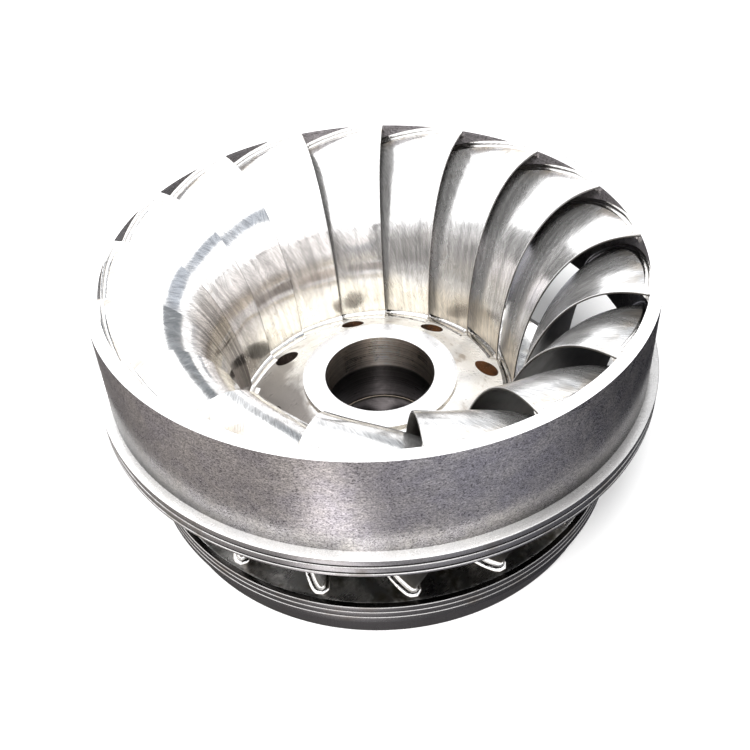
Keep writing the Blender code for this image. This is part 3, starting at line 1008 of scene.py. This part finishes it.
def mirrored_ground(floor, x, y):
    """How bright the ground is where the steel mirrors it: dark under the runner and to the right,
    lighter behind it, with one bright strip in front and one under the bore."""
    out = floor.math("SQRT", floor.math("ADD", floor.times(x, x), floor.times(y, y)))
    side = floor.times(floor.math("ADD", x, y), 0.7)
    ground = floor.spread(side, -0.35, 0.5, 0.5, 0.08)
    behind = floor.times(floor.spread(y, 0.3, 0.5), floor.spread(x, -0.3, 0.1, 1.6, 0.5))
    ground = floor.times(floor.math("ADD", ground, behind), floor.spread(out, 0.3, 0.6, 0.28, 1.0))
    turn = math.radians(STRIP_AZIMUTH)
    off = floor.math("ADD", floor.times(x, math.cos(turn)), floor.times(y, -math.sin(turn)))
    off = floor.math("ABSOLUTE", floor.math("SUBTRACT", off, STRIP_OFFSET))
    strip = floor.times(
        floor.spread(off, 0.0, STRIP_WIDTH, 0.9, 0.0),
        floor.spread(y, -0.3, -0.45),
        floor.spread(out, 0.62, 0.8, 1.6, 1.0),
        floor.spread(out, 0.33, 0.5, 0.4, 1.0),
    )
    near_middle = floor.spread(floor.math("ABSOLUTE", x), 0.0, 0.016, 2.6, 0.0)
    under_bore = floor.times(floor.spread(out, 0.06, 0.08, 1.0, 0.0), near_middle)
    return floor.math("ADD", floor.math("ADD", ground, strip), under_bore)


def add_floor():
    """A pale floor, which the steel mirrors as the darker ground of a workshop."""
    mesh = bpy.data.meshes.new("floor")
    half = FLOOR_HALF
    corners = [(-half, -half, 0), (half, -half, 0), (half, half, 0), (-half, half, 0)]
    mesh.from_pydata(corners, [], [(0, 1, 2, 3)])
    obj = bpy.data.objects.new("floor", mesh)
    bpy.context.scene.collection.objects.link(obj)
    material = bpy.data.materials.new("pale_floor")
    material.use_nodes = True
    floor = Nodes(material.node_tree)
    pale = floor.tree.nodes["Principled BSDF"]
    pale.inputs["Base Color"].default_value = (*FLOOR_COLOUR, 1)
    pale.inputs["Roughness"].default_value = FLOOR_ROUGHNESS
    x, y, _ = floor.split(floor.node("NewGeometry").outputs["Position"])
    to_right = floor.node("MapRange", {0: x, 1: GROUND_LEFT_X, 2: GROUND_RIGHT_X}).outputs[0]
    tint = floor.mixed(to_right, GROUND_LEFT_TINT, GROUND_RIGHT_TINT)
    ground = floor.node("Emission", {"Color": tint, "Strength": mirrored_ground(floor, x, y)})
    floor.mirrored_apart(pale.outputs[0], ground.outputs[0], floor.tree.nodes["Material Output"])
    mesh.materials.append(material)


def add_sun():
    """A soft lamp from behind the camera, which lights the floor and isn't mirrored in the steel."""
    data = bpy.data.lights.new("sun", "SUN")
    data.energy = SUN_POWER
    data.angle = math.radians(SUN_SPREAD)
    sun = bpy.data.objects.new("sun", data)
    bpy.context.scene.collection.objects.link(sun)
    round_z = Matrix.Rotation(-math.radians(SUN_AZIMUTH), 4, "Z")
    sun.matrix_world = round_z @ Matrix.Rotation(math.radians(SUN_ELEVATION) - math.pi / 2, 4, "X")
    sun.visible_glossy = False


def add_world():
    """An even white sky for the floor, and a brighter one with a blue-grey wall for the steel to mirror."""
    world = bpy.data.worlds.new("studio")
    world.use_nodes = True
    sky = Nodes(world.node_tree)
    even = sky.tree.nodes["Background"]
    even.inputs["Color"].default_value = (1, 1, 1, 1)
    even.inputs["Strength"].default_value = SKY_ON_FLOOR
    towards = sky.node("TexCoord").outputs["Generated"]
    ragged = sky.node("TexNoise", {"Vector": towards, "Scale": 7.0, "Detail": 2.0}).outputs[0]
    x, y, z = sky.split(towards)
    bent = sky.greater(y, WALL_BEND)

    def height_over(edge, value):
        line = sky.linear(x, edge[1], edge[0])
        return sky.math("SUBTRACT", value, sky.linear(bent, edge[2], line))

    over_foot = sky.spread(height_over(WALL_FOOT, z), -0.02, 0.02)
    over_top = sky.spread(height_over(WALL_TOP, sky.linear(ragged, 0.08, z)), 0.03, 0.055)
    wall = sky.math("SUBTRACT", over_foot, over_top, clamp=True)
    to_right = sky.linear(sky.spread(y, 0.6, 0.85), 0.12, x)
    wall = sky.times(wall, sky.times(sky.spread(to_right, 0.12, 0.45), sky.spread(y, -0.9, -0.6)))
    shade = sky.mixed(sky.spread(y, 0.5, 0.8), WALL_SIDE, WALL_BACK)
    colour = sky.mixed(wall, SKY_TINT, shade)
    mirrored = sky.node("Background", {"Color": colour, "Strength": SKY_MIRRORED})
    sky.mirrored_apart(even.outputs[0], mirrored.outputs[0], sky.tree.nodes["World Output"])
    bpy.context.scene.world = world
    bpy.context.scene.view_settings.view_transform = "Standard"


add_camera()
add_world()
add_floor()
add_sun()
add_rings()
add_blades()
